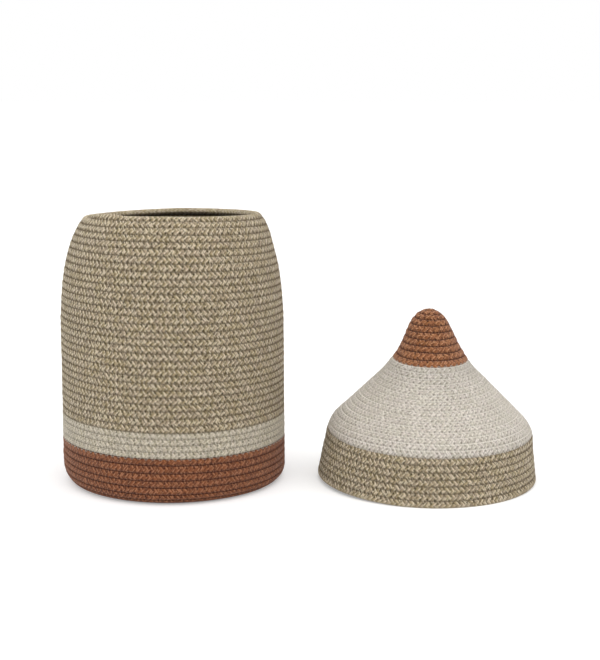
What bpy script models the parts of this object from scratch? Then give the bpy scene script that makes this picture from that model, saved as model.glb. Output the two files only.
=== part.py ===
"""Coiled cord basket for knitting, with its pointed lid standing beside it.

Metres, +Z up. The origin is the centre of the basket's underside on the floor. The front
faces -Y, and the lid stands on the same floor at +X.

Each wall is wound from braided cord: a cord climbs in one left-handed spiral, and every
colour is a cord of its own. A cord's solid is the closed wall that its turns make, with the
rows standing out as one helical ridge and the colour changes on the seam at the back.
"""
import bisect
import math

import bmesh
import bpy

# Cord
oat_cord = 0.0080
cream_cord = 0.0071
terracotta_cord = 0.0081
groove_depth = 0.0020
piece_gap = 0.0003
steps_per_turn = 24
seam_angle = math.radians(90)

# Basket
basket_radius = 0.1295
foot_round = 0.0150
terracotta_top = 0.0530
cream_top = 0.0824
shoulder_start = 0.1760
shoulder_rise = 0.1400
mouth_radius = 0.0940
shoulder_past_mouth = 0.0065
tail_end_turns = 0.67
tail_taper_turns = 0.12
tail_tip_share = 0.25

# Lid
lid_radius = 0.1275
lid_height = 0.2000
lid_shoulder_radius = 0.1193
lid_shoulder_height = 0.0656
lid_shoulder_round = 0.0420
lid_neck_radius = 0.0445
lid_neck_height = 0.1390
lid_neck_round = 0.1100
lid_nose_radius = 0.0240
lid_skirt_top = 0.0520
lid_cream_top = 0.1362
lid_beside = 0.2960
lid_forward = 0.0100

# Fineness of the round stretches
arc_points = 24
rows_per_inner_ring = 4
rows_per_foot_ring = 1
fewest_rows = 3
edge_angle = math.radians(60)
groove_angle = math.radians(25)


class Outline:
    """An outer outline as (radius, height) points, read by the length run from its start."""

    def __init__(self, points):
        self.points = points
        self.lengths = [0.0]
        for (radius, height), (next_radius, next_height) in zip(points, points[1:]):
            run = math.hypot(next_radius - radius, next_height - height)
            self.lengths.append(self.lengths[-1] + run)
        self.normals = [self._normal(index) for index in range(len(points))]

    def _normal(self, index):
        """Outward direction at a point, square to the line between its two neighbours."""
        before = self.points[max(index - 1, 0)]
        after = self.points[min(index + 1, len(self.points) - 1)]
        radial = after[0] - before[0]
        upward = after[1] - before[1]
        size = math.hypot(radial, upward)
        return upward / size, -radial / size

    @property
    def length(self):
        return self.lengths[-1]

    def at(self, length, depth=0.0):
        """The point reached after a length, and a depth behind the outline."""
        index = bisect.bisect_right(self.lengths, length) - 1
        index = min(max(index, 0), len(self.points) - 2)
        run = self.lengths[index + 1] - self.lengths[index]
        share = (length - self.lengths[index]) / run
        blend = min(max(share, 0.0), 1.0)
        (radius, height), (next_radius, next_height) = self.points[index:index + 2]
        (out, up), (next_out, next_up) = self.normals[index:index + 2]
        out += (next_out - out) * blend
        up += (next_up - up) * blend
        size = math.hypot(out, up)
        radius += (next_radius - radius) * share - depth * out / size
        height += (next_height - height) * share - depth * up / size
        return radius, height

    def length_at_height(self, height):
        """The length at which the rising outline passes a height."""
        for index in range(len(self.points) - 1):
            low = self.points[index][1]
            high = self.points[index + 1][1]
            if low <= height < high:
                share = (height - low) / (high - low)
                return self.lengths[index] + share * (self.lengths[index + 1] - self.lengths[index])
        return self.length


def arc(centre, radius, first, last, rise=None):
    """Points of an arc, or of an upright ellipse where it has a rise of its own."""
    points = []
    for index in range(arc_points + 1):
        angle = first + (last - first) * index / arc_points
        across = centre[0] + radius * math.cos(angle)
        upward = centre[1] + (rise or radius) * math.sin(angle)
        points.append((across, upward))
    return points


def rounded_corner(before, corner, after, radius):
    """Points of the arc that rounds a corner between two straight stretches."""
    inward = math.atan2(before[1] - corner[1], before[0] - corner[0])
    outward = math.atan2(after[1] - corner[1], after[0] - corner[0])
    half = ((outward - inward) % math.tau) / 2
    middle = inward + half
    opening = min(half, math.pi - half)
    if half > math.pi / 2:
        middle += math.pi
    reach = radius / math.sin(opening)
    centre = (corner[0] + reach * math.cos(middle), corner[1] + reach * math.sin(middle))
    swing = math.pi / 2 - opening
    towards = middle + math.pi
    side = 1 if half > math.pi / 2 else -1
    return arc(centre, radius, towards - side * swing, towards + side * swing)


def basket_outline():
    """From the middle of the underside, round the foot, up the wall and in to the mouth.

    The shoulder is part of an upright ellipse, whose top lies a little inside the mouth.
    """
    foot_centre = (basket_radius - foot_round, foot_round)
    foot = arc(foot_centre, foot_round, -math.pi / 2, 0.0)
    shoulder_centre = (mouth_radius - shoulder_past_mouth, shoulder_start)
    inset = basket_radius - shoulder_centre[0]
    mouth_angle = math.acos(shoulder_past_mouth / inset)
    shoulder = arc(shoulder_centre, inset, 0.0, mouth_angle, shoulder_rise)
    return Outline([(0.0, 0.0)] + foot + shoulder)


def lid_outline():
    """From the skirt's foot, over the shoulder and the hollow neck to the nose."""
    foot = (lid_radius, 0.0)
    shoulder = (lid_shoulder_radius, lid_shoulder_height)
    neck = (lid_neck_radius, lid_neck_height)
    nose_centre = (0.0, lid_height - lid_nose_radius)
    run = math.hypot(neck[0], nose_centre[1] - neck[1])
    lean = math.atan2(nose_centre[1] - neck[1], neck[0])
    touch_angle = math.acos(lid_nose_radius / run) - lean
    nose = arc(nose_centre, lid_nose_radius, touch_angle, math.pi / 2)
    over = rounded_corner(foot, shoulder, neck, lid_shoulder_round)
    hollow = rounded_corner(shoulder, neck, nose[0], lid_neck_round)
    return Outline([foot] + over + hollow + nose)


class Coil:
    """A spiral of rows on an outline: knots tie numbers of turns to outline lengths."""

    def __init__(self, outline, knots, centre):
        self.outline = outline
        self.knots = knots
        self.centre = centre

    def length(self, step):
        """The outline length of the groove under the row that passes this step."""
        turn = step / steps_per_turn
        index = 0
        while index < len(self.knots) - 2 and turn > self.knots[index + 1][0]:
            index += 1
        (first_turn, first), (next_turn, following) = self.knots[index:index + 2]
        return first + (following - first) * (turn - first_turn) / (next_turn - first_turn)

    def place(self, step, length, depth, nudge=0.0):
        """The point at a step's angle, an outline length and a depth into the wall."""
        radius, height = self.outline.at(length, depth)
        angle = seam_angle - math.tau * step / steps_per_turn
        if nudge:
            angle -= nudge / radius
        across = self.centre[0] + radius * math.cos(angle)
        along = self.centre[1] + radius * math.sin(angle)
        return across, along, max(height, 0.0)


def rows_in(length, cord):
    """The whole number of rows of a cord that fills a length."""
    return max(fewest_rows, round(length / cord))


def cord_material(name, colour, roughness):
    """A plain matt cotton finish."""
    material = bpy.data.materials.new(name)
    material.use_nodes = True
    shader = material.node_tree.nodes["Principled BSDF"]
    shader.inputs["Base Color"].default_value = (*colour, 1.0)
    shader.inputs["Roughness"].default_value = roughness
    shader.inputs["Metallic"].default_value = 0.0
    material.diffuse_color = (*colour, 1.0)
    return material


def add_object(name, mesh, material):
    """Puts a mesh in the scene: rows shade round, and grooves and cut edges stay sharp."""
    bmesh.ops.recalc_face_normals(mesh, faces=mesh.faces)
    for face in mesh.faces:
        face.smooth = True
    for edge in mesh.edges:
        fold = edge.calc_face_angle_signed()
        edge.smooth = -groove_angle < fold < edge_angle
    data = bpy.data.meshes.new(name)
    mesh.to_mesh(data)
    mesh.free()
    data.materials.append(material)
    piece = bpy.data.objects.new(name, data)
    bpy.context.scene.collection.objects.link(piece)
    return piece


def base_disc(coil, cord):
    """The flat disc of the base, whose edge is the last turn of its spiral."""
    mesh = bmesh.new()
    under = mesh.verts.new(coil.place(0, 0.0, 0.0))
    over = mesh.verts.new(coil.place(0, 0.0, cord))
    low = []
    high = []
    for step in range(steps_per_turn + 1):
        length = coil.length(step) - piece_gap / 2
        nudge = -piece_gap if step == steps_per_turn else 0.0
        low.append(mesh.verts.new(coil.place(step, length, 0.0, nudge)))
        high.append(mesh.verts.new(coil.place(step, length, cord, nudge)))
    for index in range(len(low)):
        following = (index + 1) % len(low)
        mesh.faces.new((low[index], low[following], under))
        mesh.faces.new((high[following], high[index], over))
        mesh.faces.new((low[following], low[index], high[index], high[following]))
    return mesh


class Band:
    """The closed wall that one cord makes between two numbers of turns."""

    def __init__(self, coil, first_turn, last_turn, cord):
        self.coil = coil
        self.start = round(first_turn * steps_per_turn)
        self.end = round(last_turn * steps_per_turn)
        self.cord = cord
        self.flat_foot = False
        self.free_rim = False
        self.closed_top = False
        self.taper_steps = 0
        self.rows_per_ring = rows_per_inner_ring

    def fullness(self, step):
        """How much of the row's height is left at a step, less than 1 on a tapered tail."""
        left = self.end - step
        if left >= self.taper_steps:
            return 1.0
        return tail_tip_share + (1.0 - tail_tip_share) * left / self.taper_steps

    def groove(self, step):
        """The outline length of the groove below a step, or of the foot or top edge."""
        if step <= self.start + steps_per_turn:
            if self.flat_foot:
                return 0.0 if step < self.start + steps_per_turn else self.coil.length(step)
            return self.coil.length(step) + piece_gap / 2
        if step < self.end:
            return self.coil.length(step)
        below = step - steps_per_turn
        full = self.coil.length(step) - self.coil.length(below)
        top = self.coil.length(below) + full * self.fullness(below)
        if self.free_rim:
            return top
        return top - piece_gap / 2

    def build(self):
        """One closed mesh: ridged outside, plain inside, and the cord's two cut ends."""
        self.mesh = bmesh.new()
        self._outside()
        self._foot()
        rings = self._rings()
        if self.closed_top:
            self._nose(rings)
        else:
            self._crown(rings)
        return self.mesh

    def _vertex(self, step, length, depth, nudge=0.0):
        return self.mesh.verts.new(self.coil.place(step, length, depth, nudge))

    def _outside(self):
        """Two faces to a row: groove to crest, and crest to the next groove."""
        turn = steps_per_turn
        self.valley = {}
        self.crest = {}
        for step in range(self.start, self.end + turn + 1):
            nudge = 0.0
            if step == self.start:
                nudge = piece_gap
            if step == self.end + turn and not self.closed_top:
                nudge = -piece_gap
            depth = groove_depth
            if self.flat_foot and step < self.start + turn:
                depth = 0.0
            self.valley[step] = self._vertex(step, self.groove(step), depth, nudge)
        for step in range(self.start, self.end + 1):
            nudge = 0.0
            if step == self.start:
                nudge = piece_gap
            if step == self.end and not self.closed_top:
                nudge = -piece_gap
            middle = (self.groove(step) + self.groove(step + turn)) / 2
            depth = groove_depth * (1.0 - self.fullness(step))
            self.crest[step] = self._vertex(step, middle, depth, nudge)
        for step in range(self.start, self.end):
            lower = (self.valley[step], self.valley[step + 1])
            ridge = (self.crest[step], self.crest[step + 1])
            upper = (self.valley[step + turn], self.valley[step + turn + 1])
            self.mesh.faces.new((lower[0], lower[1], ridge[1], ridge[0]))
            self.mesh.faces.new((ridge[0], ridge[1], upper[1], upper[0]))

    def _foot(self):
        """The lower edge, and the cut where the cord starts."""
        turn = steps_per_turn
        self.foot = {}
        for step in range(self.start, self.start + turn + 1):
            nudge = piece_gap if step == self.start else 0.0
            self.foot[step] = self._vertex(step, self.groove(step), self.cord, nudge)
        for step in range(self.start, self.start + turn):
            outer = (self.valley[step + 1], self.valley[step])
            inner = (self.foot[step], self.foot[step + 1])
            self.mesh.faces.new(outer + inner)
        above = self.start + turn
        self.mesh.faces.new((self.valley[self.start], self.crest[self.start],
                             self.valley[above], self.foot[above], self.foot[self.start]))

    def _rings(self):
        """Level rings up the inner side, joined to the foot's inner edge."""
        turn = steps_per_turn
        low = self.groove(self.start + turn)
        high = self.coil.outline.length if self.closed_top else self.groove(self.end)
        count = max(1, round((high - low) / (self.cord * self.rows_per_ring)))
        rings = []
        for index in range(count):
            length = low + (high - low) * (index + 0.5) / count
            rings.append([self._vertex(step, length, self.cord) for step in range(turn)])
        for offset in range(turn):
            step = self.start + offset
            column = step % turn
            following = (column + 1) % turn
            corners = [self.foot[step + 1], self.foot[step], rings[0][column], rings[0][following]]
            if offset == 0:
                corners.insert(2, self.foot[self.start + turn])
            self.mesh.faces.new(corners)
        for lower, upper in zip(rings, rings[1:]):
            for column in range(turn):
                following = (column + 1) % turn
                self.mesh.faces.new((lower[following], lower[column],
                                     upper[column], upper[following]))
        return rings

    def _crown(self, rings):
        """The upper edge, and the cut where the cord ends. A free rim is rounded over."""
        turn = steps_per_turn
        inner = {}
        lip = {}
        for step in range(self.end, self.end + turn + 1):
            nudge = -piece_gap if step == self.end + turn else 0.0
            length = self.groove(step)
            if self.free_rim:
                height = length - self.coil.length(step - turn)
                lip[step] = self._vertex(step, length + height / 4, self.cord / 2, nudge)
            inner[step] = self._vertex(step, length, self.cord, nudge)
        for step in range(self.end, self.end + turn):
            edges = [(self.valley[step], self.valley[step + 1])]
            if self.free_rim:
                edges.append((lip[step], lip[step + 1]))
            edges.append((inner[step], inner[step + 1]))
            for near, far in zip(edges, edges[1:]):
                self.mesh.faces.new((near[0], near[1], far[1], far[0]))
            column = step % turn
            following = (column + 1) % turn
            ring = rings[-1]
            corners = [ring[following], ring[column], inner[step], inner[step + 1]]
            if step == self.end + turn - 1:
                corners.append(inner[self.end])
            self.mesh.faces.new(corners)
        above = self.end + turn
        cut = [self.valley[self.end], self.crest[self.end], self.valley[above]]
        if self.free_rim:
            cut.append(lip[above])
        cut.append(inner[above])
        cut.append(inner[self.end])
        if self.free_rim:
            cut.append(lip[self.end])
        self.mesh.faces.new(cut)

    def _nose(self, rings):
        """The closed point, where the cord's first turn has no hole."""
        turn = steps_per_turn
        peak = self._vertex(self.end, self.coil.outline.length, 0.0)
        roof = self._vertex(self.end, self.coil.outline.length, self.cord)
        for step in range(self.end, self.end + turn):
            self.mesh.faces.new((self.valley[step], self.valley[step + 1], peak))
        self.mesh.faces.new((self.valley[self.end], self.crest[self.end],
                             self.valley[self.end + turn], peak)[::-1])
        for column in range(turn):
            following = (column + 1) % turn
            self.mesh.faces.new((rings[-1][following], rings[-1][column], roof))


def make_basket(oat, cream, terracotta):
    """Base disc and three cords, one over the other."""
    outline = basket_outline()
    cream_start = outline.length_at_height(terracotta_top)
    oat_start = outline.length_at_height(cream_top)
    flat_end = basket_radius - foot_round
    terracotta_turns = math.ceil((cream_start - flat_end) / terracotta_cord + 0.5)
    cream_turns = terracotta_turns + rows_in(oat_start - cream_start, cream_cord)
    oat_turns = cream_turns + rows_in(outline.length - oat_start, oat_cord)
    base_edge = cream_start - (terracotta_turns - 0.5) * terracotta_cord
    knots = [(1.0, base_edge),
             (terracotta_turns + 0.5, cream_start),
             (cream_turns + 0.5, oat_start),
             (oat_turns + 0.5, outline.length)]
    coil = Coil(outline, knots, (0.0, 0.0))
    add_object("base_coil", base_disc(coil, terracotta_cord), terracotta)
    foot = Band(coil, 0, terracotta_turns, terracotta_cord)
    foot.rows_per_ring = rows_per_foot_ring
    add_object("terracotta_wall", foot.build(), terracotta)
    middle = Band(coil, terracotta_turns, cream_turns, cream_cord)
    add_object("cream_wall_band", middle.build(), cream)
    wall = Band(coil, cream_turns, oat_turns - 1 + tail_end_turns, oat_cord)
    wall.free_rim = True
    wall.taper_steps = max(1, round(tail_taper_turns * steps_per_turn))
    add_object("oat_wall", wall.build(), oat)


def make_lid(oat, cream, terracotta):
    """Three cords from the skirt, trimmed flat on the floor, up to the closed nose."""
    outline = lid_outline()
    cream_start = outline.length_at_height(lid_skirt_top)
    tip_start = outline.length_at_height(lid_cream_top)
    skirt_turns = rows_in(cream_start, oat_cord)
    cone_turns = skirt_turns + rows_in(tip_start - cream_start, cream_cord)
    tip_turns = cone_turns + rows_in(outline.length - tip_start, terracotta_cord)
    knots = [(0.5, 0.0),
             (skirt_turns + 0.5, cream_start),
             (cone_turns + 0.5, tip_start),
             (tip_turns + 0.5, outline.length)]
    coil = Coil(outline, knots, (lid_beside, -lid_forward))
    skirt = Band(coil, 0, skirt_turns, oat_cord)
    skirt.flat_foot = True
    add_object("lid_oat_skirt", skirt.build(), oat)
    cone = Band(coil, skirt_turns, cone_turns, cream_cord)
    add_object("lid_cream_cone", cone.build(), cream)
    tip = Band(coil, cone_turns, tip_turns - 1, terracotta_cord)
    tip.closed_top = True
    add_object("lid_terracotta_tip", tip.build(), terracotta)


def main():
    for leftover in list(bpy.data.objects):
        bpy.data.objects.remove(leftover, do_unlink=True)
    oat = cord_material("oat_cotton_cord", (0.36, 0.29, 0.20), 0.92)
    cream = cord_material("cream_cotton_cord", (0.55, 0.49, 0.40), 0.90)
    terracotta = cord_material("terracotta_cotton_cord", (0.22, 0.085, 0.04), 0.90)
    make_basket(oat, cream, terracotta)
    make_lid(oat, cream, terracotta)


main()
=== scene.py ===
# %% [markdown]
# A coiled cord basket with a pointed lid
#
# The real basket is one braided cotton cord after another, wound in a rising spiral. Each row
# is sewn to the row under it with a zigzag thread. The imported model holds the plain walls, and
# this lesson winds the real cords in their place. The first step loads that model as a fixed
# frame. Everything below is placed in it, in metres.

import math

import bpy
import numpy as np
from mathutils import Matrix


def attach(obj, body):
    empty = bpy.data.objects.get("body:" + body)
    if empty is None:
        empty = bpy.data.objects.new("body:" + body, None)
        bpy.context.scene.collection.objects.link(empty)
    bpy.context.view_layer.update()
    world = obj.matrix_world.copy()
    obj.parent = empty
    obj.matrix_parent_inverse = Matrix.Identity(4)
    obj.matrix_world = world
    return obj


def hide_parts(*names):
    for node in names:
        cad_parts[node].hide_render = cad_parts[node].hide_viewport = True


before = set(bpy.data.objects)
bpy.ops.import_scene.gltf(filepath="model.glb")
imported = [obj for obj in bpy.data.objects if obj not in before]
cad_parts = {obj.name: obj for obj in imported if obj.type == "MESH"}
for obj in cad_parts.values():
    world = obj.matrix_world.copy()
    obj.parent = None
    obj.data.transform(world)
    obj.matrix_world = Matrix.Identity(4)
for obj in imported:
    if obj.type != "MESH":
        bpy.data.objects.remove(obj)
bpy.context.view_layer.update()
mm = 0.001
print("solids in the frame:", ", ".join(sorted(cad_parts)))

# %% [markdown]
# The camera
#
# A picture of a round object tells where the camera stood: each row is seen as an ellipse, and
# the ellipses open more the further they lie below the camera. Here the camera stands 1.6 m in
# front of the basket's axis, a little higher than the rim, and looks down by under ten degrees.
# A long lens keeps the two pieces free of distortion.

# %% Camera
picture_height = 660
focal_length_in_pixels = 1400.2
camera_place = (147.1 * mm, -1600 * mm, 444.9 * mm)
camera_tilt = math.radians(9.642)


def placed(name, data):
    """A new object in the scene."""
    item = bpy.data.objects.new(name, data)
    bpy.context.scene.collection.objects.link(item)
    return item


camera_data = bpy.data.cameras.new("camera")
camera_data.sensor_width = 36
camera_data.lens = camera_data.sensor_width * focal_length_in_pixels / picture_height
camera = placed("camera", camera_data)
camera.location = camera_place
camera.rotation_euler = (math.radians(90) - camera_tilt, 0, 0)
bpy.context.scene.camera = camera
bpy.context.scene.view_settings.view_transform = "Standard"
print(f"lens {camera_data.lens:.1f} mm")

# %% [markdown]
# Floor and light
#
# The object stands on a white floor under a white sky, as in a studio. The sky lights it from
# all sides, and a wide soft lamp high in front makes what faces up brighter than what stands
# upright. It is a sun with a very wide disc, so the floor is as bright far away as it is near.
# To camera, glossy and transmission rays alone, the sky is brighter and the floor glows a
# little: that makes the background white and leaves the soft shadow on it. Sums in a node tree
# are written with a small calculator, which every material uses again.

# %% Sky
sky_level = 0.72


def feed(tree, socket, value):
    """Joins a socket to another, or gives it a plain value."""
    if isinstance(value, bpy.types.NodeSocket):
        tree.links.new(value, socket)
    else:
        socket.default_value = value


def calculator(tree):
    """A short way to add a Math node to a tree: calc(operation, values) is its result."""
    def calc(operation, *values, clamp=False):
        node = tree.nodes.new("ShaderNodeMath")
        node.operation = operation
        node.use_clamp = clamp
        for socket, value in zip(node.inputs, values):
            feed(tree, socket, value)
        return node.outputs[0]

    return calc


def background_rays(tree):
    """1 for rays from the camera, from a glossy surface or through glass, and 0 for others."""
    calc = calculator(tree)
    path = tree.nodes.new("ShaderNodeLightPath").outputs
    seen = calc("MAXIMUM", path["Is Camera Ray"], path["Is Glossy Ray"])
    return calc("MAXIMUM", seen, path["Is Transmission Ray"])


world = bpy.data.worlds.new("studio")
bpy.context.scene.world = world
world.use_nodes = True
tree = world.node_tree
sky = tree.nodes["Background"].inputs
sky["Color"].default_value = (1, 1, 1, 1)
level = calculator(tree)("MULTIPLY_ADD", background_rays(tree), 1 - sky_level, sky_level)
tree.links.new(level, sky["Strength"])
print("sky", sky_level)

# %% Floor
floor_colour = 0.80
floor_lift = 0.32
floor_half = 60.0

floor_white = bpy.data.materials.new("floor_white")
floor_white.use_nodes = True
tree = floor_white.node_tree
shader = tree.nodes["Principled BSDF"].inputs
shader["Base Color"].default_value = (floor_colour, floor_colour, floor_colour, 1)
shader["Roughness"].default_value = 1.0
shader["Specular IOR Level"].default_value = 0.0
shader["Emission Color"].default_value = (1, 1, 1, 1)
lift = calculator(tree)("MULTIPLY", background_rays(tree), floor_lift)
tree.links.new(lift, shader["Emission Strength"])

floor_mesh = bpy.data.meshes.new("floor")
corners = [(-floor_half, -floor_half, 0), (floor_half, -floor_half, 0),
           (floor_half, floor_half, 0), (-floor_half, floor_half, 0)]
floor_mesh.from_pydata(corners, [], [(0, 1, 2, 3)])
floor_mesh.materials.append(floor_white)
floor = placed("floor", floor_mesh)
print("floor", floor_colour, "lifted by", floor_lift)

# %% Lamp
lamp_level = 1.6
lamp_height = math.radians(68)
lamp_disc = math.radians(90)

lamp_data = bpy.data.lights.new("overhead_lamp", "SUN")
lamp_data.energy = lamp_level
lamp_data.angle = lamp_disc
lamp = placed("overhead_lamp", lamp_data)
lamp.rotation_euler = (math.radians(90) - lamp_height, 0, 0)
print("lamp", lamp_level)

# %% [markdown]
# The outline
#
# A coiled basket is first drawn as half a section: the line that a finger follows from the
# middle of the base, round the foot, up the wall and in to the mouth. Rows are counted along
# this line, so every point is found by the length run from its start. A curve object could hold
# it, but NumPy reads a list of points for thousands of places at once.

# %% Outlines
arc_points = 24


def arc(centre, radius, first, last, rise=None):
    """Points of an arc, or of an upright ellipse where it has a rise of its own."""
    angle = np.linspace(first, last, arc_points + 1)
    across = centre[0] + radius * np.cos(angle)
    upward = centre[1] + (rise or radius) * np.sin(angle)
    return list(zip(across, upward))


def rounded_corner(before, corner, after, radius):
    """Points of the arc that rounds a corner between two straight stretches."""
    inward = math.atan2(before[1] - corner[1], before[0] - corner[0])
    outward = math.atan2(after[1] - corner[1], after[0] - corner[0])
    half = ((outward - inward) % math.tau) / 2
    opening = min(half, math.pi - half)
    flip = half > math.pi / 2
    middle = inward + half + (math.pi if flip else 0)
    reach = radius / math.sin(opening)
    centre = (corner[0] + reach * math.cos(middle), corner[1] + reach * math.sin(middle))
    swing = (math.pi / 2 - opening) * (1 if flip else -1)
    towards = middle + math.pi
    return arc(centre, radius, towards - swing, towards + swing)


class Outline:
    """An outline as radius and height, with its normals, read by the length run along it."""

    def __init__(self, points):
        self.points = np.array(points)
        steps = np.diff(self.points, axis=0)
        self.lengths = np.concatenate([[0], np.cumsum(np.hypot(steps[:, 0], steps[:, 1]))])
        spans = np.vstack([steps[:1], self.points[2:] - self.points[:-2], steps[-1:]])
        spans /= np.hypot(spans[:, 0], spans[:, 1])[:, None]
        self.normals = np.stack([spans[:, 1], -spans[:, 0]], 1)
        self.spans = spans

    def at(self, length, depth):
        """Radius and height after a length, at a depth behind the outline."""
        inside = np.clip(length, 0, self.lengths[-1])
        past = length - inside
        values = []
        for axis in (0, 1):
            on_line = np.interp(inside, self.lengths, self.points[:, axis])
            normal = np.interp(inside, self.lengths, self.normals[:, axis])
            end = np.where(past < 0, self.spans[0, axis], self.spans[-1, axis])
            values.append(on_line + past * end - depth * normal)
        return values

    def length_at_height(self, height):
        """The length at which the rising outline passes a height."""
        rising = np.maximum.accumulate(self.points[:, 1])
        return float(np.interp(height, rising, self.lengths))

# %% [markdown]
# The two outlines
#
# The basket is a straight wall on a round foot, and its shoulder is part of an upright ellipse
# that stops at the mouth. The lid is a short skirt, a rounded shoulder, a hollow neck and a
# round nose: straight lines, with arcs at the corners.

# %% Basket outline
basket_radius = 129.5 * mm
foot_round = 15 * mm
shoulder_start = 176 * mm
shoulder_rise = 140 * mm
mouth_radius = 94 * mm
shoulder_past_mouth = 6.5 * mm

foot = arc((basket_radius - foot_round, foot_round), foot_round, -math.pi / 2, 0)
centre = (mouth_radius - shoulder_past_mouth, shoulder_start)
inset = basket_radius - centre[0]
shoulder = arc(centre, inset, 0, math.acos(shoulder_past_mouth / inset), shoulder_rise)
basket_line = Outline([(0, 0)] + foot + shoulder)
print(f"basket outline {basket_line.lengths[-1] / mm:.0f} mm")

# %% Lid outline
lid_radius = 127.5 * mm
lid_height = 200 * mm
lid_shoulder = (119.3 * mm, 65.6 * mm)
lid_shoulder_round = 42 * mm
lid_neck = (44.5 * mm, 139 * mm)
lid_neck_round = 110 * mm
lid_nose_radius = 24 * mm

foot = (lid_radius, 0)
centre = (0, lid_height - lid_nose_radius)
reach = math.hypot(lid_neck[0], centre[1] - lid_neck[1])
lean = math.atan2(centre[1] - lid_neck[1], lid_neck[0])
nose = arc(centre, lid_nose_radius, math.acos(lid_nose_radius / reach) - lean, math.pi / 2)
over = rounded_corner(foot, lid_shoulder, lid_neck, lid_shoulder_round)
hollow = rounded_corner(lid_shoulder, lid_neck, nose[0], lid_neck_round)
lid_line = Outline([foot] + over + hollow + nose)
print(f"lid outline {lid_line.lengths[-1] / mm:.0f} mm")

# %% [markdown]
# Counting the rows
#
# The cord climbs by one row in each turn. Seen from the front it rises from right to left, so
# it makes a left-handed spiral. Colours change on one seam at the back. A coil is then a table
# of knots: after so many turns the groove under the row has come so far along the outline.
# Between two knots the climb is even. What has drifted since is laid over that, and no row is
# quite as high as the next. Stitches are counted along the groove, so that cord and thread
# agree on where the needle went.

# %% Cords and drift
oat_cord = 8.0 * mm
cream_cord = 7.1 * mm
terracotta_cord = 8.1 * mm
fewest_rows = 3
drift_sines = 7
drift_rates = (0.6, 4.2)


def rows_in(length, cord):
    """The whole number of rows of a cord that fills a length."""
    return max(fewest_rows, round(length / cord))


def smooth_step(value, low, high):
    """0 below low, 1 above high, and a smooth rise between."""
    share = np.clip((value - low) / (high - low), 0, 1)
    return share * share * (3 - 2 * share)


def wander(turn, size, seed):
    """A slow uneven drift along the cord, from sines whose rates share no period."""
    draw = np.random.default_rng(seed)
    rates = draw.uniform(*drift_rates, drift_sines)
    phases = draw.uniform(0, math.tau, drift_sines)
    total = 0
    for rate, phase in zip(rates, phases):
        total = total + np.sin(math.tau * rate * turn + phase)
    return size * total / math.sqrt(drift_sines / 2)


def lengths_along(points):
    """The length run along a line of points when it comes to each of them."""
    steps = np.linalg.norm(np.diff(points, axis=0), axis=1)
    return np.concatenate([[0], np.cumsum(steps)])


print("rows in 100 mm: oat", rows_in(100 * mm, oat_cord), "cream", rows_in(100 * mm, cream_cord))

# %% Coils
seam_angle = math.radians(90)
stitch_repeat = 8.0 * mm
groove_seed = 11
sewn_points = 12000
points_per_turn = 240


class Coil:
    """A spiral of rows on an outline: knots tie numbers of turns to outline lengths."""

    def __init__(self, body, outline, knots, centre, drift, settle, uneven, first_turn):
        self.body = body
        self.outline = outline
        self.turns, self.lengths = np.array(knots).T
        self.centre = centre
        self.drift, self.settle, self.uneven = drift, settle, uneven
        self.sewn_turns = np.linspace(first_turn, self.turns[-1] + 1, sewn_points)
        sewn = self.place(self.sewn_turns, self.groove(self.sewn_turns), 0)
        self.sewn_lengths = lengths_along(sewn)

    def groove(self, turn):
        """The outline length of the groove under the row that passes this turn."""
        first = (self.lengths[1] - self.lengths[0]) / (self.turns[1] - self.turns[0])
        last = (self.lengths[-1] - self.lengths[-2]) / (self.turns[-1] - self.turns[-2])
        before = np.minimum(turn - self.turns[0], 0) * first
        after = np.maximum(turn - self.turns[-1], 0) * last
        stray = wander(turn, 1, groove_seed) * np.interp(turn, *self.uneven)
        return np.interp(turn, self.turns, self.lengths) + before + after + stray

    def place(self, turn, length, depth):
        """The point at a turn's angle, an outline length and a depth into the wall."""
        angle = seam_angle - math.tau * turn
        radius, height = self.outline.at(length + self.drift(angle, length), depth)
        radius, height = self.settle(angle, radius, height)
        return np.stack([self.centre[0] + radius * np.cos(angle),
                         self.centre[1] + radius * np.sin(angle),
                         height + np.zeros_like(angle)], -1)

    def stitches(self, turn):
        """How many stitches have been sewn along the groove when it passes a turn."""
        return np.interp(turn, self.sewn_turns, self.sewn_lengths) / stitch_repeat

    def turn_of_stitch(self, count):
        """The turn at which a number of stitches has been sewn."""
        return np.interp(count * stitch_repeat, self.sewn_lengths, self.sewn_turns)

    def run(self, first, last):
        """Turns and the cord's length at each, close enough together to be read as a line."""
        turn = np.linspace(first, last, max(2, round((last - first) * points_per_turn)))
        middle = (self.groove(turn) + self.groove(turn + 1)) / 2
        return turn, lengths_along(self.place(turn, middle, oat_cord / 2))

# %% [markdown]
# How the soft walls have settled
#
# Sewn cord is soft, so no real basket is exactly round and level. Its rows drift up or down as
# they go round: evenly, leaning to one side, or rising at both sides, as the lid's do most,
# because its skirt stands on the front and back and arches between. Each drift is a table of
# outline lengths with three amounts, in millimetres. The rim also sinks at the back and left
# and is pushed out at the right, it stands up where the cord ends, the foot is rounder at the
# left, and the lid leans its shoulder in and its skirt out at the left. A simulation wouldn't
# give these forms, because the sewing holds them, so they are laid over the outline.

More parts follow.
